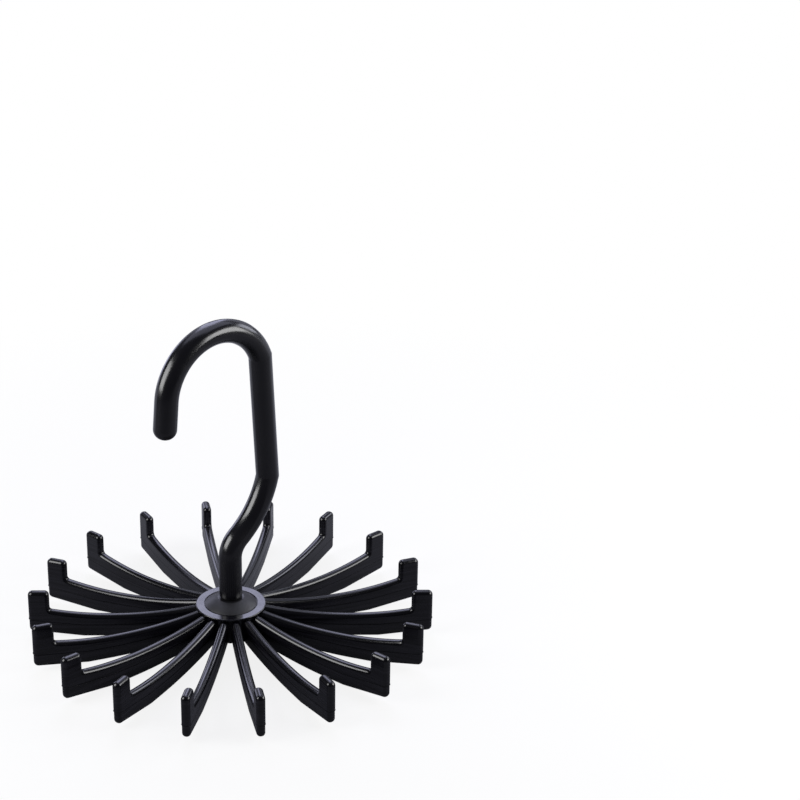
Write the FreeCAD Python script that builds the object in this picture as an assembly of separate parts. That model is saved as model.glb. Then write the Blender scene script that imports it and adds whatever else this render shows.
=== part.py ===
"""Rotating tie hanger: a cranked hook that swivels in a hub with a ring of finger arms. Millimetres, +Z up.

The swivel axis is Z and the arms' feet stand on Z = 0. The hook lies in the XZ plane with its tip towards -X.
"""
import FreeCAD, Part
import math
import os

# Arms: number, place and the outline of one blade, as radius from the axis and height above the feet
ARM_COUNT = 18
ARM_PHASE = -2.1             # degrees from the hook's plane to the first arm, as the hanger stands
REACH = 70.4                 # axis to the outer end of the finger
FINGER_WIDTH = 7.3           # along the arm
FINGER_RISE = 7.2            # top of the finger above the seat
SEAT_HEIGHT = 10.4           # where the upper edge meets the finger
SAG_HEIGHT = 8.5             # lowest point of the upper edge
SAG_PLACE_SHARE = 0.604      # where that point lies on the way from hub to finger
TIP_HEIGHT = 2.3             # lower corner of the outer end
FOOT_SETBACK = 18.9          # outer end to the flat foot
FOOT_LENGTH = 6.5
ARM_THICKNESS = 3.1
SEAT_ROUND = 1.0             # hollow corner between seat and finger
FINGER_ROUND = 1.3           # top corners of the finger
TIP_ROUND = 1.6              # lower corner of the outer end
EDGE_ROUND = 1.0             # round the flanks above the mould line
FOOT_ROUND = 1.0             # round the flanks below it
PARTING_RISE = 4.8           # mould line above the lower edge
PARTING_STEP = 0.1           # how far the moulding draws in below the mould line

# Hub: heights are above the feet
RING_HEIGHT = 12.9           # top of the flat ring
RING_WIDTH = 2.8
RIM_THICKNESS = 0.8
RIM_OVERHANG = 1.0           # ring beyond the flats that carry the arms
RIM_ROUND = 0.3
GROOVE_WIDTH = 0.4           # round the dome, inside the ring
GROOVE_DEPTH = 0.3
DOME_RISE = 2.4              # hook's seat above the ring
DOME_BULGE_HEIGHT = 0.2      # outwards from the straight line between seat and groove
SEAT_MARGIN = 0.6            # flat seat beyond the hook's rod
HUB_FLAT = 11.2              # axis to the flats that carry the arms
HUB_BOTTOM = 3.1
HUB_WALL = 1.8               # outer wall and boss wall of the cored underside
CROWN_THICKNESS = 2.0        # under the ring
BORE_LENGTH = 7.6            # hook's seat to the lower end of the boss

# Pin and snap end below the hook's shoulder
PIN_RADIUS = 2.75
PIN_CLEARANCE = 0.06         # running fit, on the radius
SHOULDER_PLAY = 0.1          # under the shoulder
SNAP_PLAY = 0.2              # between the boss and the snap's lip
SNAP_CATCH = 0.6             # lip beyond the bore's wall
SNAP_LIP = 0.9
SNAP_POINT = 2.4             # length of the tapered end
SNAP_POINT_RADIUS = 2.1
SLOT_WIDTH = 1.5             # lets the two prongs spring together
SLOT_LENGTH = 8.0

# Hook: angles are degrees from the vertical, towards +X
ROD_RADIUS = 4.0
SHOULDER_ROUND = 1.0
STEM_LENGTH = 15.1           # straight stem above the shoulder
STEM_BEND_INNER = 4.5        # inner radius of the bend above the stem
CRANK_ANGLE = 55.3
CRANK_RADIUS = 34.1
CRANK_END_ANGLE = 15.8
CREASE_INNER = 0.5           # inner radius of the sharp bend at each end of the shank
SHANK_ANGLE = -3.5
SHANK_LENGTH = 44.3
HOOK_START_ANGLE = -22.2
HOOK_INNER_RADIUS = 16.8     # takes a wardrobe rail
HOOK_END_ANGLE = -174.7
TIP_LENGTH = 12.9            # straight end, round nose included
NOSE_FLAT = 0.4              # radius of the flat left on the nose

OVERRUN = 2.0                # cuts reach this far past what they cut
MATCH_DISTANCE = 0.05        # points this near each other count as one when an edge is looked up
ROUND_LIMIT_SHARE = 0.45     # a rounded edge takes at most this share of the wall it lies on

ORIGIN = FreeCAD.Vector(0, 0, 0)
Y_AXIS = FreeCAD.Vector(0, 1, 0)
Z_AXIS = FreeCAD.Vector(0, 0, 1)
STEP_ANGLE = 360.0 / ARM_COUNT
SEAT_PLANE = RING_HEIGHT + DOME_RISE
RIM_UNDERSIDE = RING_HEIGHT - RIM_THICKNESS
RING_RADIUS = HUB_FLAT + RIM_OVERHANG
BORE_RADIUS = PIN_RADIUS + PIN_CLEARANCE
BOSS_RADIUS = BORE_RADIUS + HUB_WALL
BOSS_END = SEAT_PLANE - BORE_LENGTH
FINGER_INNER = REACH - FINGER_WIDTH
FINGER_TOP = SEAT_HEIGHT + FINGER_RISE
SAG_RADIUS = HUB_FLAT + (FINGER_INNER - HUB_FLAT) * SAG_PLACE_SHARE
FOOT_OUTER = REACH - FOOT_SETBACK
FOOT_INNER = FOOT_OUTER - FOOT_LENGTH


def at(radius, height):
    """A point of the XZ plane."""
    return FreeCAD.Vector(radius, 0, height)


def line(start, end):
    return Part.LineSegment(start, end).toShape()


def arc(start, middle, end):
    return Part.Arc(start, middle, end).toShape()


def revolved(edges):
    """The solid that a closed outline in the XZ plane sweeps round the axis."""
    return Part.Face(Part.Wire(edges)).revolve(ORIGIN, Z_AXIS, 360)


def polygon(points):
    return [line(a, b) for a, b in zip(points, points[1:] + points[:1])]


def rising_arc(low, high):
    """The arc that leaves the low point level and climbs to the high point."""
    run = high.x - low.x
    rise = high.z - low.z
    radius = (run ** 2 + rise ** 2) / (2 * rise)
    half_turn = math.atan2(rise, abs(run))
    across = math.copysign(radius * math.sin(half_turn), run)
    return arc(low, low + at(across, radius * (1 - math.cos(half_turn))), high)


def lower_edge(reach, rise):
    """The blade's lower edge from its outer end to the hub, lifted by a rise: slope, flat foot, long curve."""
    tip = at(reach, TIP_HEIGHT + rise)
    outer = at(FOOT_OUTER, rise)
    inner = at(FOOT_INNER, rise)
    root = at(HUB_FLAT, HUB_BOTTOM + rise)
    return [line(tip, outer), line(outer, inner), rising_arc(inner, root)]


def upper_edge():
    """The blade's upper edge from the hub to the foot of the finger, level at its lowest point."""
    lowest = at(SAG_RADIUS, SAG_HEIGHT)
    return [rising_arc(lowest, at(HUB_FLAT, RIM_UNDERSIDE)), rising_arc(lowest, at(FINGER_INNER, SEAT_HEIGHT))]


def across_edges(solid, point):
    """Edges that run across the blade through a point of its outline."""
    found = []
    for edge in solid.Edges:
        ends = [vertex.Point for vertex in edge.Vertexes]
        if all(abs(end.x - point.x) + abs(end.z - point.z) < MATCH_DISTANCE for end in ends):
            found.append(edge)
    return found


def flank_edges(solid):
    """Edges round both flanks, without those at the root."""
    found = []
    for face in solid.Faces:
        normal = face.normalAt(0, 0)
        if abs(normal.y) < abs(normal.x) + abs(normal.z):
            continue
        for edge in face.Edges:
            if any(vertex.Point.x > HUB_FLAT + MATCH_DISTANCE for vertex in edge.Vertexes):
                found.append(edge)
    return found


def blade(inset, edge_round):
    """One whole blade along +X, drawn in by an inset on both flanks and at its outer end."""
    reach = REACH - inset
    thickness = ARM_THICKNESS - inset * 2
    top_inner = at(FINGER_INNER, FINGER_TOP)
    top_outer = at(reach, FINGER_TOP)
    seat = at(FINGER_INNER, SEAT_HEIGHT)
    tip = at(reach, TIP_HEIGHT)
    outline = upper_edge()
    outline += [line(seat, top_inner), line(top_inner, top_outer), line(top_outer, tip)]
    outline += lower_edge(reach, 0)
    outline.append(line(at(HUB_FLAT, HUB_BOTTOM), at(HUB_FLAT, RIM_UNDERSIDE)))
    sheet = Part.Face(Part.Wire(Part.sortEdges(outline)[0]))
    sheet.translate(Y_AXIS * (-thickness / 2))
    plate = sheet.extrude(Y_AXIS * thickness)
    for corner, size in ((seat, SEAT_ROUND), (tip, TIP_ROUND), (top_inner, FINGER_ROUND), (top_outer, FINGER_ROUND)):
        plate = plate.makeFillet(size, across_edges(plate, corner))
    largest_round = thickness * ROUND_LIMIT_SHARE
    return plate.makeFillet(min(edge_round, largest_round), flank_edges(plate))


def below_mould_line():
    """Everything of a blade that lies below its mould line."""
    reach = REACH + OVERRUN
    edges = lower_edge(reach, PARTING_RISE)
    outer_top = at(reach, TIP_HEIGHT + PARTING_RISE)
    inner_top = at(HUB_FLAT, HUB_BOTTOM + PARTING_RISE)
    outer_low = at(reach, -OVERRUN)
    inner_low = at(HUB_FLAT, -OVERRUN)
    edges += [line(inner_top, inner_low), line(inner_low, outer_low), line(outer_low, outer_top)]
    sheet = Part.Face(Part.Wire(Part.sortEdges(edges)[0]))
    sheet.translate(Y_AXIS * -ARM_THICKNESS)
    return sheet.extrude(Y_AXIS * (ARM_THICKNESS * 2))


def arm():
    """One arm along +X: full size above its mould line, drawn in by the parting step below it."""
    below = below_mould_line()
    upper = blade(0, EDGE_ROUND).cut(below)
    lower = blade(PARTING_STEP, FOOT_ROUND).common(below)
    return upper.fuse(lower).Solids[0]


def hub():
    """Ring, dome with the hook's seat, cored underside with its boss, and the flats that carry the arms."""
    ring_inner = RING_RADIUS - RING_WIDTH
    dome_foot = ring_inner - GROOVE_WIDTH
    seat_radius = ROD_RADIUS + SEAT_MARGIN
    seat_edge = at(seat_radius, SEAT_PLANE)
    dome_edge = at(dome_foot, RING_HEIGHT)
    slope = dome_edge - seat_edge
    outward = at(-slope.z, slope.x).normalize()
    dome_middle = (seat_edge + dome_edge) / 2 + outward * DOME_BULGE_HEIGHT
    groove_floor = RING_HEIGHT - GROOVE_DEPTH
    crown_floor = RING_HEIGHT - CROWN_THICKNESS
    core_radius = HUB_FLAT - HUB_WALL
    rim_round = min(RIM_ROUND, RIM_THICKNESS * ROUND_LIMIT_SHARE)
    rim = revolved([
        line(at(BORE_RADIUS, SEAT_PLANE), seat_edge),
        arc(seat_edge, dome_middle, dome_edge),
        line(dome_edge, at(dome_foot, groove_floor)),
        line(at(dome_foot, groove_floor), at(ring_inner, groove_floor)),
        line(at(ring_inner, groove_floor), at(ring_inner, RING_HEIGHT)),
        line(at(ring_inner, RING_HEIGHT), at(RING_RADIUS, RING_HEIGHT)),
        line(at(RING_RADIUS, RING_HEIGHT), at(RING_RADIUS, RIM_UNDERSIDE)),
        line(at(RING_RADIUS, RIM_UNDERSIDE), at(core_radius, RIM_UNDERSIDE)),
        line(at(core_radius, RIM_UNDERSIDE), at(core_radius, crown_floor)),
        line(at(core_radius, crown_floor), at(BOSS_RADIUS, crown_floor)),
        line(at(BOSS_RADIUS, crown_floor), at(BOSS_RADIUS, BOSS_END)),
        line(at(BOSS_RADIUS, BOSS_END), at(BORE_RADIUS, BOSS_END)),
        line(at(BORE_RADIUS, BOSS_END), at(BORE_RADIUS, SEAT_PLANE)),
    ])
    outer_edges = [e for e in rim.Edges if len(e.Vertexes) == 1 and e.Vertexes[0].Point.x > RING_RADIUS - rim_round]
    rim = rim.makeFillet(rim_round, outer_edges)
    corner_radius = HUB_FLAT / math.cos(math.radians(STEP_ANGLE / 2))
    corners = []
    for i in range(ARM_COUNT):
        angle = math.radians(ARM_PHASE + STEP_ANGLE * i + STEP_ANGLE / 2)
        corners.append(FreeCAD.Vector(corner_radius * math.cos(angle), corner_radius * math.sin(angle), HUB_BOTTOM))
    wall = Part.Face(Part.Wire(polygon(corners))).extrude(Z_AXIS * (RIM_UNDERSIDE - HUB_BOTTOM))
    core = Part.makeCylinder(core_radius, RIM_UNDERSIDE, ORIGIN, Z_AXIS)
    return rim.fuse(wall.cut(core)).removeSplitter().Solids[0]


def hook_path():
    """The rod's centre line: stem, bend, crank, crease, shank, crease, hook and straight end."""
    edges = []
    place = at(0, SEAT_PLANE + SHOULDER_PLAY)

    def straight(lean, length):
        nonlocal place
        angle = math.radians(lean)
        end = place + at(math.sin(angle), math.cos(angle)) * length
        edges.append(line(place, end))
        place = end

    def bend(from_lean, to_lean, radius):
        nonlocal place
        side = math.copysign(radius, to_lean - from_lean)
        first, half, last = (math.radians(a) for a in (from_lean, (from_lean + to_lean) / 2, to_lean))
        centre = place + at(math.cos(first), -math.sin(first)) * side
        middle = centre - at(math.cos(half), -math.sin(half)) * side
        end = centre - at(math.cos(last), -math.sin(last)) * side
        edges.append(arc(place, middle, end))
        place = end

    straight(0, STEM_LENGTH)
    bend(0, CRANK_ANGLE, ROD_RADIUS + STEM_BEND_INNER)
    bend(CRANK_ANGLE, CRANK_END_ANGLE, CRANK_RADIUS)
    bend(CRANK_END_ANGLE, SHANK_ANGLE, ROD_RADIUS + CREASE_INNER)
    straight(SHANK_ANGLE, SHANK_LENGTH)
    bend(SHANK_ANGLE, HOOK_START_ANGLE, ROD_RADIUS + CREASE_INNER)
    bend(HOOK_START_ANGLE, HOOK_END_ANGLE, ROD_RADIUS + HOOK_INNER_RADIUS)
    straight(HOOK_END_ANGLE, TIP_LENGTH)
    return Part.Wire(edges), place


def snap_pin():
    """Pin through the bore, with a lip that catches under the boss and a slot between its two prongs."""
    shoulder = SEAT_PLANE + SHOULDER_PLAY
    lip_top = BOSS_END - SNAP_PLAY
    lip_low = lip_top - SNAP_LIP
    lip_radius = BORE_RADIUS + SNAP_CATCH
    point = lip_low - SNAP_POINT
    pin = revolved(polygon([
        at(0, shoulder + OVERRUN),
        at(PIN_RADIUS, shoulder + OVERRUN),
        at(PIN_RADIUS, lip_top),
        at(lip_radius, lip_top),
        at(lip_radius, lip_low),
        at(SNAP_POINT_RADIUS, point),
        at(0, point),
    ]))
    reach = lip_radius + OVERRUN
    corner = FreeCAD.Vector(-reach, -SLOT_WIDTH / 2, point - OVERRUN)
    slot = Part.makeBox(reach * 2, SLOT_WIDTH, SLOT_LENGTH + OVERRUN, corner)
    return pin.cut(slot)


def hook():
    """Swept rod with a rounded shoulder and nose, and the pin that holds it in the hub."""
    path, nose = hook_path()
    shoulder = at(0, SEAT_PLANE + SHOULDER_PLAY)
    ring = Part.Wire(Part.makeCircle(ROD_RADIUS, shoulder, Z_AXIS))
    rod = path.makePipeShell([ring], True, False)
    for centre, size in ((shoulder, SHOULDER_ROUND), (nose, ROD_RADIUS - NOSE_FLAT)):
        ends = [e for e in rod.Edges if e.CenterOfMass.distanceToPoint(centre) < MATCH_DISTANCE]
        rod = rod.makeFillet(size, ends)
    return rod.fuse(snap_pin()).removeSplitter().Solids[0]


os.makedirs("parts", exist_ok=True)
hook().exportStep("parts/hook.step")
hub().exportStep("parts/hub.step")
blank = arm()
for number in range(ARM_COUNT):
    turned = blank.copy()
    turned.rotate(ORIGIN, Z_AXIS, ARM_PHASE + STEP_ANGLE * number)
    turned.exportStep("parts/arm_%02d.step" % (number + 1))
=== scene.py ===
"""Rotating tie hanger: a black moulded hook that swivels in a hub with eighteen finger arms. Metres, +Z up."""
import bmesh
import bpy
import math
from mathutils import Matrix, Vector


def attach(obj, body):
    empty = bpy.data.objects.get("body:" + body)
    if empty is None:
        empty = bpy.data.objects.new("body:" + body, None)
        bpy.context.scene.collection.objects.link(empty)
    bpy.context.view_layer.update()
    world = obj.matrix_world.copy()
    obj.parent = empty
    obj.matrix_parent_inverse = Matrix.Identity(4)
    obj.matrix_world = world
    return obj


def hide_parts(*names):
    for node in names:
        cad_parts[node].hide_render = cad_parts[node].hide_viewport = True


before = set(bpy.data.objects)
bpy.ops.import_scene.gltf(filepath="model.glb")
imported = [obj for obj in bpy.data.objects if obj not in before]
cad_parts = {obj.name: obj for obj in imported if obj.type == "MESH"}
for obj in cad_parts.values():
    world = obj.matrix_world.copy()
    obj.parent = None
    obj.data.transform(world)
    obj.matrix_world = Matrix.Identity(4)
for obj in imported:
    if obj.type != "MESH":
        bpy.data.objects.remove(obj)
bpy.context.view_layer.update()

MM = 0.001

# Arms: outline of one blade, as radius from the axis and height above the feet
ARM_COUNT = 18
ARM_PHASE = -2.1
REACH = 70.4 * MM
FINGER_INNER = 63.1 * MM
FINGER_TOP = 17.6 * MM
SEAT_HEIGHT = 10.4 * MM
SAG_RADIUS = 42.548 * MM
SAG_HEIGHT = 8.5 * MM
TIP_HEIGHT = 2.3 * MM
FOOT_OUTER = 51.5 * MM
FOOT_INNER = 45.0 * MM
ROOT_RADIUS = 11.2 * MM
ROOT_TOP = 12.1 * MM
ROOT_LOW = 3.1 * MM
ARM_THICKNESS = 3.1 * MM
SEAT_ROUND = 1.0 * MM
FINGER_ROUND = 1.6 * MM
TIP_ROUND = 1.6 * MM
EDGE_ROUND = 1.4 * MM        # round the flanks above the mould line
FOOT_ROUND = 1.3 * MM        # round the flanks below it
MOULD_RISE = 4.8 * MM        # mould line above the lower edge
MOULD_STEP = 0.1 * MM        # how far the blade draws in below the mould line
MOULD_DRAFT = 0.02 * MM      # slope of that step
FLASH_WIDTH = 0.25 * MM      # fine bead that the mould leaves along its line
FLASH_HEIGHT = 0.11 * MM
MOULD_RUN = 20.9 * MM        # over which the mould line climbs by the tip height, beyond the foot
ARC_STEPS = 14
CORNER_STEPS = 6
RIM_STEPS = 5                # of each flank's edge, from the flank to the blade's middle

# Hook: the rod's centre line in the XZ plane, angles in degrees from the vertical towards +X
ROD_RADIUS = 4.0 * MM
SHOULDER_HEIGHT = 15.4 * MM
SHOULDER_ROUND = 1.0 * MM
NOSE_FLAT = 0.4 * MM
STEM_LENGTH = 15.1 * MM
STEM_BEND_RADIUS = 8.5 * MM
CRANK_ANGLE = 55.3
CRANK_RADIUS = 34.1 * MM
CRANK_END_ANGLE = 15.8
CREASE_RADIUS = 4.5 * MM     # of the bend that a crease stands for
CREASE_HALF_WIDTH = 0.05 * MM    # from the crease to the ring on each side of it
SHANK_ANGLE = -3.5
SHANK_LENGTH = 44.3 * MM
HOOK_START_ANGLE = -22.2
HOOK_RADIUS = 20.8 * MM
HOOK_END_ANGLE = -174.7
TIP_LENGTH = 12.9 * MM
BEND_STEP = 3.5              # degrees between rings of the rod in its bends
NOSE_STEPS = 12
ROD_SIDES = 96
SEAM_HEIGHT = 0.05 * MM      # mould seam along the rod, in the hook's plane
SEAM_WIDTH = 0.25 * MM

# Pin and snap end below the hook's shoulder
PIN_RADIUS = 2.75 * MM
SNAP_RADIUS = 3.41 * MM
SNAP_POINT_RADIUS = 2.1 * MM
SNAP_TOP = 7.5 * MM
SNAP_LOW = 6.6 * MM
SNAP_POINT = 4.2 * MM
SLOT_TOP = 12.2 * MM
SLOT_HALF = 0.75 * MM
PRONG_STEPS = 20
PRONG_OVERLAP = 0.2 * MM     # prongs run into the solid pin above them

# Meshes: points closer than the weld are one, and edges steeper than the angle stay sharp
WELD = 0.002 * MM
SHARP_ANGLE = 40.0

# Camera, as azimuth and elevation round a point on the swivel axis
VIEW_AZIMUTH = -39.53
VIEW_ELEVATION = 29.77
VIEW_ROLL = 1.07
VIEW_DISTANCE = 0.7752
VIEW_LENS = 99.17
SENSOR = 36.0
AIM_RIGHT = 0.0609
AIM_UP = 0.0705
VIEW_HEIGHT = 12.3 * MM

# Plastic: scale and detail of its noises, and heights of its fine relief
NOISE_USUAL = (0.3, 0.7)     # between which most of a noise lies
NOISE_ROUGHNESS = 0.55
TONE_SCALE, TONE_DETAIL = 90.0, 3.0
PEEL_SCALE, PEEL_DETAIL = 420.0, 1.0
WEAR_SCALE, WEAR_DETAIL = 160.0, 4.0
PEEL_HEIGHT = 0.006 * MM
STREAK_HEIGHT = 0.02 * MM
STREAK_LENGTHWAYS = 45.0     # noise steps per metre along an arm
STREAK_UPWARDS = 1100.0      # and up its flank
STREAK_ARM_STEP = 7.3        # and from one arm to the next
STREAK_DETAIL = 3.0
FLANK_FADE = 1.5             # how fast the streaks end where a flank turns into an edge
PLASTIC_IOR = 1.5
DOME_RADIUS = 9.3 * MM
DOME_SATIN = 0.26            # how much rougher the dome is than the ring round it

# Floor and world
WHITE = (1, 1, 1)
FLOOR_SIZE = 6.0
FLOOR_WHITE = (0.9, 0.9, 0.9)        # paint as the camera sees it
FLOOR_PAINTED_SHADE = (0.12, 0.12, 0.13)      # painted shade: dark paint that the plastic mirrors and the bounce sees, for all but the camera
FLOOR_SHADE = (0.09, 0.3)            # distances from the axis between which the shadow fades out
FLOOR_SEEN_SHARE = (0.85, 1.0)       # own glow there, as the camera sees it
FLOOR_DEPTH = (0.0, 0.15)            # depths behind the axis, as the camera sees it, over which the painted glow in the plastic rises
FLOOR_PAINTED_REFLECTION_GLOW = (0.05, 0.6)   # painted reflection: own glow there, as the plastic mirrors it
WORLD_STRENGTH = 0.07
COOL_WHITE = (0.84, 0.86, 1)         # of the world, and of the floor's painted glow in the plastic

# Lamps: name, azimuth, elevation, distance, width, height, power and colour
LAMPS = (
    ("behind", VIEW_AZIMUTH + 182, 45, 0.6, 0.23, 0.4, 0.82, (0.72, 0.73, 1)),
    ("backdrop", VIEW_AZIMUTH + 180, 26, 0.7, 1.1, 0.3, 0.6, (0.8, 0.82, 1)),
    ("behind_low", VIEW_AZIMUTH + 215, 13, 0.42, 0.19, 0.15, 0.18, (0.74, 0.75, 1)),
    ("above", VIEW_AZIMUTH + 165, 70, 0.45, 0.46, 0.36, 0.5, (0.78, 0.8, 1)),
    ("right", VIEW_AZIMUTH + 80, 28, 0.42, 0.26, 0.2, 0.98, WHITE),
    ("right_back", VIEW_AZIMUTH + 122, 30, 0.42, 0.15, 0.15, 0.28, (0.86, 0.88, 1)),
    ("left", VIEW_AZIMUTH - 72, 33, 0.42, 0.23, 0.25, 1.05, WHITE),
)


def node(tree, kind, **settings):
    made = tree.nodes.new(kind)
    for name, value in settings.items():
        setattr(made, name, value)
    return made


def feed(tree, socket, value):
    """Links a socket into an input, or sets a plain value on it."""
    if isinstance(value, bpy.types.NodeSocket):
        tree.links.new(value, socket)
    else:
        socket.default_value = value


def step(tree, kind, feeds, **settings):
    """Adds a node with its inputs fed by name or number, and gives its first output."""
    made = node(tree, kind, **settings)
    for key, value in feeds.items():
        feed(tree, made.inputs[key], value)
    return made.outputs[0]


def number(tree, operation, a, b=0.0):
    return step(tree, "ShaderNodeMath", {0: a, 1: b}, operation=operation)


def scaled(tree, vector, scale):
    return step(tree, "ShaderNodeVectorMath", {0: vector, "Scale": scale}, operation="SCALE")


def summed(tree, a, b):
    return step(tree, "ShaderNodeVectorMath", {0: a, 1: b}, operation="ADD")


def upright(tree, x=0.0, y=0.0, z=0.0):
    return step(tree, "ShaderNodeCombineXYZ", {0: x, 1: y, 2: z})


def carried(tree, name, kind="FLOAT"):
    """A value that the mesh carries on its points."""
    return step(tree, "GeometryNodeInputNamedAttribute", {"Name": name}, data_type=kind)


def new_tree(name, sizes):
    """An empty Geometry Nodes tree with named inputs for its sizes and its material."""
    tree = bpy.data.node_groups.new(name, "GeometryNodeTree")
    face = tree.interface
    face.new_socket("Geometry", in_out="INPUT", socket_type="NodeSocketGeometry")
    for size in sizes:
        face.new_socket(size, in_out="INPUT", socket_type="NodeSocketFloat")
    face.new_socket("Material", in_out="INPUT", socket_type="NodeSocketMaterial")
    face.new_socket("Geometry", in_out="OUTPUT", socket_type="NodeSocketGeometry")
    return tree, node(tree, "NodeGroupInput").outputs


def finish_tree(tree, geometry, material):
    """Sharp edges where faces meet steeply, then Realize Instances and Set Material."""
    angle = step(tree, "GeometryNodeInputMeshEdgeAngle", {})
    smooth = number(tree, "LESS_THAN", angle, math.radians(SHARP_ANGLE))
    shaded = step(tree, "GeometryNodeSetShadeSmooth", {0: geometry, "Shade Smooth": smooth}, domain="EDGE")
    real = step(tree, "GeometryNodeRealizeInstances", {0: shaded})
    done = step(tree, "GeometryNodeSetMaterial", {0: real, "Material": material})
    feed(tree, node(tree, "NodeGroupOutput").inputs[0], done)


def run_tree(tree, source, values, name):
    """The plain mesh that a tree makes of a source mesh, as an object."""
    carrier = bpy.data.objects.new(name, source)
    bpy.context.scene.collection.objects.link(carrier)
    modifier = carrier.modifiers.new("nodes", "NODES")
    modifier.node_group = tree
    sockets = {s.name: s.identifier for s in tree.interface.items_tree if s.in_out == "INPUT"}
    for key, value in values.items():
        modifier[sockets[key]] = value
    weigh = carrier.modifiers.new("flat_flanks", "WEIGHTED_NORMAL")
    weigh.keep_sharp = True
    evaluated = carrier.evaluated_get(bpy.context.evaluated_depsgraph_get())
    mesh = bpy.data.meshes.new_from_object(evaluated)
    mesh.name = name
    bpy.data.objects.remove(carrier)
    return add_piece(mesh, name)


def add_piece(mesh, name):
    piece = bpy.data.objects.new(name, mesh)
    bpy.context.scene.collection.objects.link(piece)
    return piece


def carry(mesh, name, kind, values):
    """Puts a value on each point of a mesh."""
    attribute = mesh.attributes.new(name, kind, "POINT")
    field = "vector" if kind == "FLOAT_VECTOR" else "value"
    for item, value in zip(attribute.data, values):
        setattr(item, field, value)


def rising_arc(low, high):
    """Points of the arc that leaves the low point level and climbs to the high point."""
    run, rise = high.x - low.x, high.y - low.y
    radius = (run ** 2 + rise ** 2) / (2 * rise)
    turn = 2 * math.atan2(rise, abs(run))
    points = []
    for i in range(ARC_STEPS + 1):
        angle = turn * i / ARC_STEPS
        points.append(low + Vector((math.copysign(radius * math.sin(angle), run), radius * (1 - math.cos(angle)))))
    return points


def rounded(points, rounds):
    """A polyline with some of its corners rounded: rounds gives a radius for the number of a corner."""
    made = []
    for i, corner in enumerate(points):
        if i not in rounds:
            made.append(corner)
            continue
        before, after = (points[i - 1] - corner).normalized(), (points[i + 1] - corner).normalized()
        half = before.angle(after) / 2
        centre = corner + (before + after).normalized() * (rounds[i] / math.sin(half))
        start = corner + before * (rounds[i] / math.tan(half)) - centre
        turn = start.angle_signed(corner + after * (rounds[i] / math.tan(half)) - centre)
        for k in range(CORNER_STEPS + 1):
            made.append(centre + Matrix.Rotation(-turn * k / CORNER_STEPS, 2) @ start)
    return made


def outward(path):
    """Unit vectors to the left of a path at each of its points."""
    runs = [(b - a).normalized() for a, b in zip(path, path[1:])]
    runs = [runs[0]] + [(a + b).normalized() for a, b in zip(runs, runs[1:])] + [runs[-1]]
    return [Vector((-run.y, run.x)) for run in runs]


def mould_height(radius):
    """Height of the mould line, which lies at one rise above the lower edge."""
    if radius >= FOOT_OUTER:
        return MOULD_RISE + TIP_HEIGHT * (radius - FOOT_OUTER) / MOULD_RUN
    if radius >= FOOT_INNER:
        return MOULD_RISE
    run, rise = FOOT_INNER - ROOT_RADIUS, ROOT_LOW
    bend = (run ** 2 + rise ** 2) / (2 * rise)
    return MOULD_RISE + bend - math.sqrt(bend ** 2 - (FOOT_INNER - radius) ** 2)


def blade_edges():
    """The blade's outline above its mould line, from root to outer end, and below it, from outer end to root."""
    lowest = Vector((SAG_RADIUS, SAG_HEIGHT))
    inner = Vector((FOOT_INNER, 0))
    upper = rising_arc(lowest, Vector((ROOT_RADIUS, ROOT_TOP)))[::-1]
    upper += rising_arc(lowest, Vector((FINGER_INNER, SEAT_HEIGHT)))[1:]
    seat = len(upper) - 1
    upper += [Vector((FINGER_INNER, FINGER_TOP)), Vector((REACH, FINGER_TOP))]
    upper.append(Vector((REACH, mould_height(REACH) + FLASH_WIDTH)))
    end = REACH - MOULD_STEP
    lower = [Vector((end, mould_height(end))), Vector((end, TIP_HEIGHT)), Vector((FOOT_OUTER, 0))]
    lower += rising_arc(inner, Vector((ROOT_RADIUS, ROOT_LOW)))
    upper = rounded(upper, {seat: SEAT_ROUND, seat + 1: FINGER_ROUND, seat + 2: FINGER_ROUND})
    return upper, rounded(lower, {1: TIP_ROUND})


def rim_points(path, size, height, below, root, end):
    """Points of a path drawn in by a round, with their ways out.

    These are upright at the root and follow the mould line at the end.
    """
    ways = outward(path)
    ways[root] = Vector((0, 1 / ways[root].y))
    ways[end] = Vector((1, TIP_HEIGHT / MOULD_RUN))
    return [(point - way * size, height, way, below) for point, way in zip(path, ways)]


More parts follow.
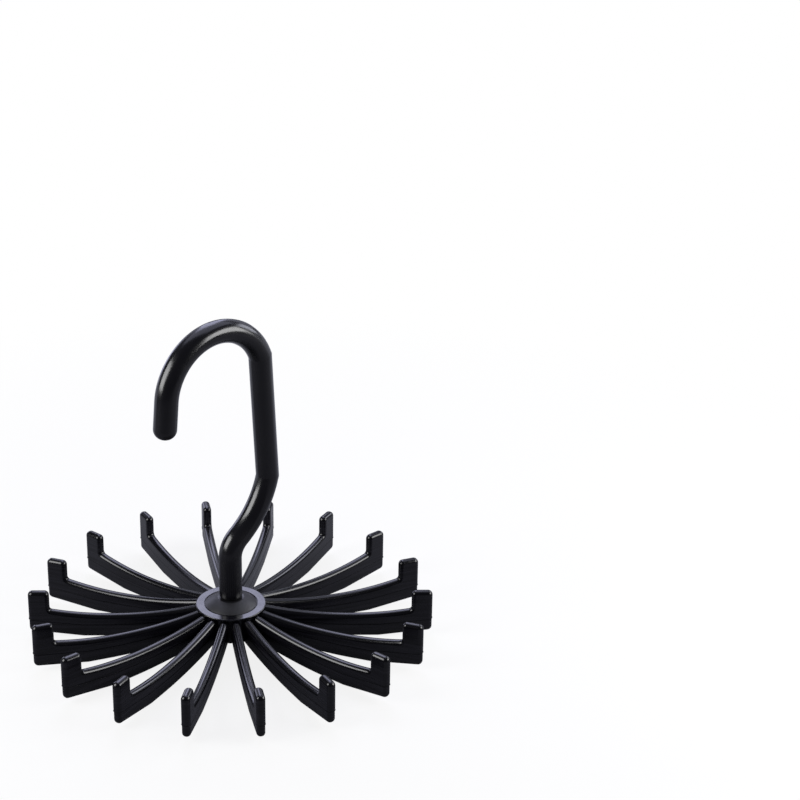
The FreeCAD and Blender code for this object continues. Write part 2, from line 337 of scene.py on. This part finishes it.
def flank_sheet():
    """One flank of a blade, flat in XY, drawn in by its rounds, with the mould line's bead and step."""
    top = ARM_THICKNESS / 2
    upper_path, lower_path = blade_edges()
    upper = rim_points(upper_path, EDGE_ROUND, top, 0.0, 0, -1)
    lower = rim_points(lower_path, FOOT_ROUND, top - MOULD_STEP, 1.0, -1, 0)
    still = Vector((0, 0))
    radii = [ROOT_RADIUS + (FOOT_INNER - ROOT_RADIUS) * i / ARC_STEPS for i in range(ARC_STEPS + 1)] + [FOOT_OUTER]
    seam = [Vector((radius, mould_height(radius))) for radius in radii]
    above = [(point + Vector((0, FLASH_WIDTH)), top, still, 0.0) for point in seam]
    bead = [(point, top + FLASH_HEIGHT, still, 0.0) for point in seam]
    end = REACH - EDGE_ROUND
    bead_way = Vector((1 + FLASH_HEIGHT / EDGE_ROUND, TIP_HEIGHT / MOULD_RUN))
    bead.append((Vector((end, mould_height(end))), top + FLASH_HEIGHT, bead_way, 0.0))
    under = [(point - Vector((0, MOULD_DRAFT)), top - MOULD_STEP, still, 1.0) for point in seam]
    points = upper + above + bead + lower + under
    starts = [0]
    for run in (upper, above, bead, lower, under):
        starts.append(starts[-1] + len(run))
    upper_run, above_run, bead_run, lower_run, under_run = (list(range(a, b)) for a, b in zip(starts, starts[1:]))
    above_run.append(upper_run[-1])
    under_run.append(lower_run[0])
    faces = [above_run + upper_run[-2::-1], under_run[::-1] + lower_run[:0:-1]]
    for high, low in ((above_run, bead_run), (bead_run, under_run)):
        faces += [(a, c, d, b) for a, b, c, d in zip(high, high[1:], low, low[1:])]
    mesh = bpy.data.meshes.new("flank_sheet")
    mesh.from_pydata([(p.x, p.y, height) for p, height, _, _ in points], [], faces, shade_flat=False)
    carry(mesh, "outward", "FLOAT_VECTOR", [(way.x, way.y, 0) for _, _, way, _ in points])
    carry(mesh, "below", "FLOAT", [below for _, _, _, below in points])
    return mesh


def arm_tree():
    """Rolls the rim of a flank sheet over to the blade's middle, mirrors it, stands it up and turns it."""
    tree, given = new_tree("finger_arm", ("Edge Round", "Foot Round", "Turn", "Number"))
    more = number(tree, "SUBTRACT", given["Foot Round"], given["Edge Round"])
    size = number(tree, "ADD", given["Edge Round"], number(tree, "MULTIPLY", more, carried(tree, "below")))
    way = carried(tree, "outward", "FLOAT_VECTOR")
    faces_at_edge = step(tree, "GeometryNodeInputMeshEdgeNeighbors", {})
    rim = step(tree, "FunctionNodeCompare", {2: faces_at_edge, 3: 1}, data_type="INT", operation="EQUAL")
    shape = given["Geometry"]
    quarter = math.pi / 2
    for i in range(RIM_STEPS + 1):
        grown = node(tree, "GeometryNodeExtrudeMesh", mode="EDGES")
        feed(tree, grown.inputs["Mesh"], shape)
        feed(tree, grown.inputs["Selection"], rim)
        feed(tree, grown.inputs["Offset Scale"], 0.0)
        rim = grown.outputs["Top"]
        if i < RIM_STEPS:
            before, after = quarter * i / RIM_STEPS, quarter * (i + 1) / RIM_STEPS
            out = scaled(tree, way, number(tree, "MULTIPLY", size, math.sin(after) - math.sin(before)))
            down = upright(tree, z=number(tree, "MULTIPLY", size, math.cos(after) - math.cos(before)))
            move = {"Offset": summed(tree, out, down)}
        else:
            place = step(tree, "GeometryNodeInputPosition", {})
            move = {"Position": step(tree, "ShaderNodeVectorMath", {0: place, 1: (1, 1, 0)}, operation="MULTIPLY")}
        move.update({"Geometry": grown.outputs["Mesh"], "Selection": rim})
        shape = step(tree, "GeometryNodeSetPosition", move)
    mirrored = step(tree, "GeometryNodeTransform", {0: shape, "Scale": (1, 1, -1)})
    other = step(tree, "GeometryNodeFlipFaces", {0: mirrored})
    both = node(tree, "GeometryNodeJoinGeometry")
    for half in (shape, other):
        tree.links.new(half, both.inputs[0])
    whole = step(tree, "GeometryNodeMergeByDistance", {0: both.outputs[0], "Distance": WELD})
    number_fed = {0: whole, "Name": "arm_number", "Value": given["Number"]}
    numbered = step(tree, "GeometryNodeStoreNamedAttribute", number_fed, data_type="FLOAT", domain="POINT")
    turn = step(tree, "FunctionNodeEulerToRotation", {0: upright(tree, quarter, 0.0, given["Turn"])})
    stood = step(tree, "GeometryNodeTransform", {0: numbered, "Rotation": turn})
    finish_tree(tree, stood, given["Material"])
    return tree


def make_arms(material):
    tree, sheet = arm_tree(), flank_sheet()
    for i in range(ARM_COUNT):
        turn = math.radians(ARM_PHASE + 360 / ARM_COUNT * i)
        values = {"Edge Round": EDGE_ROUND, "Foot Round": FOOT_ROUND, "Turn": turn, "Number": float(i)}
        values["Material"] = material
        piece = run_tree(tree, sheet, values, "finger_arm_%02d" % (i + 1))
        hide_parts("arm_%02d" % (i + 1))
        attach(piece, "spider")


def rod_rings():
    """Rings of the rod from the pin to the nose: centre, way to the hook's outer side, radius, seam height."""
    rings = []
    place = Vector((0, SHOULDER_HEIGHT))
    lean = 0.0

    def ring(centre, radius, seam=SEAM_HEIGHT):
        angle = math.radians(lean)
        rings.append((centre, Vector((math.cos(angle), -math.sin(angle))), radius, seam))

    def along(angle):
        return Vector((math.sin(math.radians(angle)), math.cos(math.radians(angle))))

    def straight(length):
        nonlocal place
        place = place + along(lean) * length
        ring(place, ROD_RADIUS)

    def bend(end_angle, radius):
        nonlocal place, lean
        steps = math.ceil(abs(end_angle - lean) / BEND_STEP)
        change = (end_angle - lean) / steps
        chord = 2 * radius * math.sin(math.radians(abs(change)) / 2)
        for _ in range(steps):
            place = place + along(lean + change / 2) * chord
            lean += change
            ring(place, ROD_RADIUS)

    def crease(end_angle):
        """A mitre with a ring close to each side of it, where the shank meets a bend."""
        nonlocal place, lean
        half = math.radians(end_angle - lean) / 2
        reach = CREASE_RADIUS * math.tan(abs(half))
        before, after = along(lean), along(end_angle)
        place = place + before * reach
        middle = math.radians(lean) + half
        side = Vector((math.cos(middle), -math.sin(middle))) / math.cos(half)
        for move in (before * -CREASE_HALF_WIDTH, Vector((0, 0)), after * CREASE_HALF_WIDTH):
            rings.append((place + move, side, ROD_RADIUS, SEAM_HEIGHT))
        place = place + after * reach
        lean = end_angle
        ring(place, ROD_RADIUS)

    ring(Vector((0, SLOT_TOP)), PIN_RADIUS, 0)
    ring(place, PIN_RADIUS, 0)
    for i in range(CORNER_STEPS + 1):
        angle = math.pi / 2 * i / CORNER_STEPS
        rise = SHOULDER_ROUND * (1 - math.cos(angle))
        ring(place + along(0) * rise, ROD_RADIUS - SHOULDER_ROUND * (1 - math.sin(angle)), 0)
    straight(STEM_LENGTH)
    bend(CRANK_ANGLE, STEM_BEND_RADIUS)
    bend(CRANK_END_ANGLE, CRANK_RADIUS)
    crease(SHANK_ANGLE)
    straight(SHANK_LENGTH)
    crease(HOOK_START_ANGLE)
    bend(HOOK_END_ANGLE, HOOK_RADIUS)
    nose = ROD_RADIUS - NOSE_FLAT
    straight(TIP_LENGTH - nose)
    for i in range(1, NOSE_STEPS + 1):
        angle = math.pi / 2 * i / NOSE_STEPS
        ring(place + along(lean) * nose * math.sin(angle), NOSE_FLAT + nose * math.cos(angle), 0)
    return rings


def rod_tree():
    """Sweeps a round section with two fine seams along a line whose points carry their girth and side."""
    tree, given = new_tree("swept_rod", ("Sides", "Seam Width"))
    rail = step(tree, "GeometryNodeMeshToCurve", {0: given["Geometry"]})
    circle = step(tree, "GeometryNodeCurvePrimitiveCircle", {"Resolution": given["Sides"]})
    parameter = step(tree, "GeometryNodeSplineParameter", {})
    around_fed = {0: circle, "Name": "around", "Value": parameter}
    section = step(tree, "GeometryNodeStoreNamedAttribute", around_fed, data_type="FLOAT", domain="POINT")
    tube = step(tree, "GeometryNodeCurveToMesh", {"Curve": rail, "Profile Curve": section, "Fill Caps": True})
    angle = number(tree, "MULTIPLY", carried(tree, "around"), math.tau)
    sine, cosine = number(tree, "SINE", angle), number(tree, "COSINE", angle)
    radius = carried(tree, "girth")
    off_plane = number(tree, "MULTIPLY", number(tree, "ABSOLUTE", sine), radius)
    off_plane = number(tree, "DIVIDE", off_plane, given["Seam Width"])
    seam = number(tree, "MAXIMUM", number(tree, "SUBTRACT", 1.0, off_plane), 0.0)
    reach = number(tree, "ADD", radius, number(tree, "MULTIPLY", seam, carried(tree, "seam")))
    side = scaled(tree, carried(tree, "side", "FLOAT_VECTOR"), number(tree, "MULTIPLY", reach, cosine))
    across = upright(tree, y=number(tree, "MULTIPLY", reach, sine))
    place = summed(tree, carried(tree, "centre", "FLOAT_VECTOR"), summed(tree, side, across))
    shaped = step(tree, "GeometryNodeSetPosition", {"Geometry": tube, "Position": place})
    finish_tree(tree, shaped, given["Material"])
    return tree


def add_prongs(mesh):
    """The snap end: two prongs with flat inner sides, a lip that catches under the hub's boss and a tapered point."""
    outline = ((SLOT_TOP + PRONG_OVERLAP, PIN_RADIUS), (SNAP_TOP, PIN_RADIUS), (SNAP_TOP, SNAP_RADIUS),
               (SNAP_LOW, SNAP_RADIUS), (SNAP_POINT, SNAP_POINT_RADIUS))
    shape = bmesh.new()
    shape.from_mesh(mesh)
    for side in (1, -1):
        rows = []
        for height, radius in outline:
            first = math.asin(SLOT_HALF / radius)
            angles = [first + (math.pi - 2 * first) * i / PRONG_STEPS for i in range(PRONG_STEPS + 1)]
            places = [(radius * math.cos(a) * side, radius * math.sin(a) * side, height) for a in angles]
            rows.append([shape.verts.new(place) for place in places])
        for above, below in zip(rows, rows[1:]):
            for i in range(PRONG_STEPS):
                shape.faces.new((above[i], below[i], below[i + 1], above[i + 1]))
        shape.faces.new(rows[0])
        shape.faces.new(rows[-1][::-1])
        shape.faces.new([row[0] for row in rows[::-1]] + [row[-1] for row in rows])
    shape.to_mesh(mesh)
    shape.free()


def make_hook(material):
    rings = rod_rings()
    line = bpy.data.meshes.new("rod_line")
    line.from_pydata([(c.x, 0, c.y) for c, _, _, _ in rings], [(i, i + 1) for i in range(len(rings) - 1)], [])
    carry(line, "centre", "FLOAT_VECTOR", [(c.x, 0, c.y) for c, _, _, _ in rings])
    carry(line, "side", "FLOAT_VECTOR", [(s.x, 0, s.y) for _, s, _, _ in rings])
    carry(line, "girth", "FLOAT", [r for _, _, r, _ in rings])
    carry(line, "seam", "FLOAT", [h for _, _, _, h in rings])
    values = {"Sides": ROD_SIDES, "Seam Width": SEAM_WIDTH, "Material": material}
    piece = run_tree(rod_tree(), line, values, "hook_rod")
    add_prongs(piece.data)
    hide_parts("hook")
    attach(piece, "hook")


def shader_tree(name):
    material = bpy.data.materials.new(name)
    material.use_nodes = True
    return material, material.node_tree, material.node_tree.nodes["Principled BSDF"]


def between(tree, value, reach, results):
    """Maps a value over a reach onto two results, and keeps to them outside it."""
    ends = {"From Min": reach[0], "From Max": reach[1], "To Min": results[0], "To Max": results[1]}
    return step(tree, "ShaderNodeMapRange", {"Value": value, **ends})


def ranged(tree, value, low, high):
    """Maps a noise value onto a range."""
    return between(tree, value, NOISE_USUAL, (low, high))


def mixed_colour(tree, share, first, second):
    """Mixes two colours. Its colour sockets share their names with others, so they go by number."""
    mix = node(tree, "ShaderNodeMix", data_type="RGBA")
    feed(tree, mix.inputs["Factor"], share)
    mix.inputs[6].default_value = first + (1,)
    mix.inputs[7].default_value = second + (1,)
    return mix.outputs[2]


def cloud(tree, place, scale, detail):
    feeds = {"Vector": place, "Scale": scale, "Detail": detail, "Roughness": NOISE_ROUGHNESS}
    return step(tree, "ShaderNodeTexNoise", feeds)


def axis_distance(tree, split):
    """Distance from the swivel axis, from the separated object coordinates."""
    flat = step(tree, "ShaderNodeCombineXYZ", {0: split.outputs[0], 1: split.outputs[1]})
    length = node(tree, "ShaderNodeVectorMath", operation="LENGTH")
    feed(tree, length.inputs[0], flat)
    return length.outputs["Value"]


def black_plastic(name, dark, light, gloss, satin, sheen, streaked=False, satin_within=0.0):
    """Black moulded plastic: faint cloudy tone, uneven gloss and orange peel.

    The arms have the mould's fine streaks, and the hub is satin within a distance from the axis.
    """
    material, tree, shader = shader_tree(name)
    coordinates = node(tree, "ShaderNodeTexCoord")
    place = coordinates.outputs["Object"]
    split = node(tree, "ShaderNodeSeparateXYZ")
    feed(tree, split.inputs[0], place)
    tone = ranged(tree, cloud(tree, place, TONE_SCALE, TONE_DETAIL), 0.0, 1.0)
    peel = cloud(tree, place, PEEL_SCALE, PEEL_DETAIL)
    wear = cloud(tree, place, WEAR_SCALE, WEAR_DETAIL)
    height = number(tree, "MULTIPLY", peel, PEEL_HEIGHT)
    if streaked:
        along = number(tree, "MULTIPLY", axis_distance(tree, split), STREAK_LENGTHWAYS)
        up = number(tree, "MULTIPLY", split.outputs[2], STREAK_UPWARDS)
        arm = node(tree, "ShaderNodeAttribute", attribute_name="arm_number")
        lines = upright(tree, along, up, number(tree, "MULTIPLY", arm.outputs["Fac"], STREAK_ARM_STEP))
        facing = node(tree, "ShaderNodeSeparateXYZ")
        feed(tree, facing.inputs[0], coordinates.outputs["Normal"])
        steep = number(tree, "MULTIPLY", number(tree, "ABSOLUTE", facing.outputs[2]), FLANK_FADE)
        flank = number(tree, "MAXIMUM", number(tree, "SUBTRACT", 1.0, steep), 0.0)
        streak = number(tree, "MULTIPLY", cloud(tree, lines, 1.0, STREAK_DETAIL), flank)
        tone = ranged(tree, streak, 0.0, 1.0)
        height = number(tree, "ADD", height, number(tree, "MULTIPLY", streak, STREAK_HEIGHT))
        wear = number(tree, "MULTIPLY", number(tree, "ADD", wear, streak), 0.5)
    feed(tree, shader.inputs["Base Color"], mixed_colour(tree, tone, dark, light))
    rough = ranged(tree, wear, gloss, satin)
    if satin_within:
        inside = number(tree, "LESS_THAN", axis_distance(tree, split), satin_within)
        rough = number(tree, "ADD", rough, number(tree, "MULTIPLY", inside, DOME_SATIN))
    feed(tree, shader.inputs["Roughness"], rough)
    bump = step(tree, "ShaderNodeBump", {"Height": height, "Strength": 1.0, "Distance": 1.0})
    feed(tree, shader.inputs["Normal"], bump)
    shader.inputs["IOR"].default_value = PLASTIC_IOR
    shader.inputs["Specular IOR Level"].default_value = sheen
    return material


def floor_material():
    """Floor that the camera sees white with a soft shadow.

    The plastic mirrors it with painted shade, dark before the axis, and with a painted glow that grows paler behind
    it.
    """
    material = bpy.data.materials.new("pale_floor")
    material.use_nodes = True
    tree = material.node_tree
    tree.nodes.clear()
    path = node(tree, "ShaderNodeLightPath")
    seen = path.outputs["Is Camera Ray"]
    mirrored = number(tree, "MAXIMUM", path.outputs["Is Glossy Ray"], path.outputs["Is Transmission Ray"])
    # Paint: white as the camera sees it, painted shade for the plastic's reflections and the bounce
    paint = mixed_colour(tree, seen, FLOOR_PAINTED_SHADE, FLOOR_WHITE)
    place = node(tree, "ShaderNodeTexCoord").outputs["Object"]
    split = node(tree, "ShaderNodeSeparateXYZ")
    feed(tree, split.inputs[0], place)
    depth = node(tree, "ShaderNodeVectorMath", operation="DOT_PRODUCT")
    feed(tree, depth.inputs[0], place)
    depth.inputs[1].default_value = -view_axes(VIEW_AZIMUTH, 0)[2]
    own_glow = between(tree, axis_distance(tree, split), FLOOR_SHADE, FLOOR_SEEN_SHARE)
    # Painted reflection: the floor's glow as the plastic mirrors it, low before the axis and higher behind it
    painted_mirror_glow = between(tree, depth.outputs["Value"], FLOOR_DEPTH, FLOOR_PAINTED_REFLECTION_GLOW)
    seen_share = number(tree, "MULTIPLY", seen, own_glow)
    share = number(tree, "MAXIMUM", seen_share, number(tree, "MULTIPLY", mirrored, painted_mirror_glow))
    floor_diffuse = step(tree, "ShaderNodeBsdfDiffuse", {"Color": paint})
    glow = step(tree, "ShaderNodeEmission", {"Color": mixed_colour(tree, seen, COOL_WHITE, WHITE), "Strength": 1.0})
    mixed = step(tree, "ShaderNodeMixShader", {0: share, 1: floor_diffuse, 2: glow})
    feed(tree, node(tree, "ShaderNodeOutputMaterial").inputs["Surface"], mixed)
    return material


def make_floor():
    half = FLOOR_SIZE / 2
    mesh = bpy.data.meshes.new("floor")
    mesh.from_pydata([(-half, -half, 0), (half, -half, 0), (half, half, 0), (-half, half, 0)], [], [(0, 1, 2, 3)])
    mesh.materials.append(floor_material())
    add_piece(mesh, "floor")


def view_axes(azimuth, elevation):
    """Right, up and back of a camera that stands at an azimuth and elevation, all unit vectors."""
    a, e = math.radians(azimuth), math.radians(elevation)
    back = Vector((math.sin(a) * math.cos(e), -math.cos(a) * math.cos(e), math.sin(e)))
    right = Vector((math.cos(a), math.sin(a), 0))
    return right, back.cross(right), back


def make_camera():
    right, up, back = view_axes(VIEW_AZIMUTH, VIEW_ELEVATION)
    centre = Vector((0, 0, VIEW_HEIGHT))
    place = centre + back * VIEW_DISTANCE
    aim = centre + right * AIM_RIGHT + up * AIM_UP
    data = bpy.data.cameras.new("camera")
    data.lens = VIEW_LENS
    data.sensor_width = SENSOR
    camera = bpy.data.objects.new("camera", data)
    bpy.context.scene.collection.objects.link(camera)
    turn = (aim - place).to_track_quat("-Z", "Y").to_matrix().to_4x4()
    camera.matrix_world = Matrix.Translation(place) @ turn @ Matrix.Rotation(math.radians(VIEW_ROLL), 4, "Z")
    bpy.context.scene.camera = camera


def softbox(name, azimuth, elevation, distance, width, height, power, colour):
    """A rectangular lamp that faces the object, placed as a camera is."""
    right, up, back = view_axes(azimuth, elevation)
    data = bpy.data.lights.new(name, "AREA")
    data.shape = "RECTANGLE"
    data.size = width
    data.size_y = height
    data.energy = power
    data.color = colour
    lamp = bpy.data.objects.new(name, data)
    bpy.context.scene.collection.objects.link(lamp)
    lamp.matrix_world = Matrix.Translation(back * distance) @ Matrix((right, up, back)).transposed().to_4x4()


def make_light():
    """A dim cool world that the camera sees white, and the lamps."""
    world = bpy.data.worlds.new("world")
    bpy.context.scene.world = world
    world.use_nodes = True
    tree = world.node_tree
    sky = tree.nodes["Background"]
    seen = node(tree, "ShaderNodeLightPath").outputs["Is Camera Ray"]
    feed(tree, sky.inputs["Color"], mixed_colour(tree, seen, COOL_WHITE, WHITE))
    feed(tree, sky.inputs["Strength"], number(tree, "MAXIMUM", seen, WORLD_STRENGTH))
    for lamp in LAMPS:
        softbox(*lamp)


bpy.context.scene.view_settings.view_transform = "Standard"
make_camera()
make_floor()
make_light()
arm_black = black_plastic("arm_black", dark=(0.001, 0.0009, 0.002), light=(0.0125, 0.012, 0.0175),
                          gloss=0.19, satin=0.33, sheen=0.6, streaked=True)
hub_black = black_plastic("hub_black", dark=(0.0035, 0.0034, 0.005), light=(0.0065, 0.0062, 0.0095),
                          gloss=0.16, satin=0.26, sheen=0.8, satin_within=DOME_RADIUS)
hook_black = black_plastic("hook_black", dark=(0.003, 0.0029, 0.0044), light=(0.0052, 0.005, 0.0074),
                           gloss=0.17, satin=0.26, sheen=0.75)
make_arms(arm_black)
make_hook(hook_black)
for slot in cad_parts["hub"].material_slots:
    slot.material = hub_black
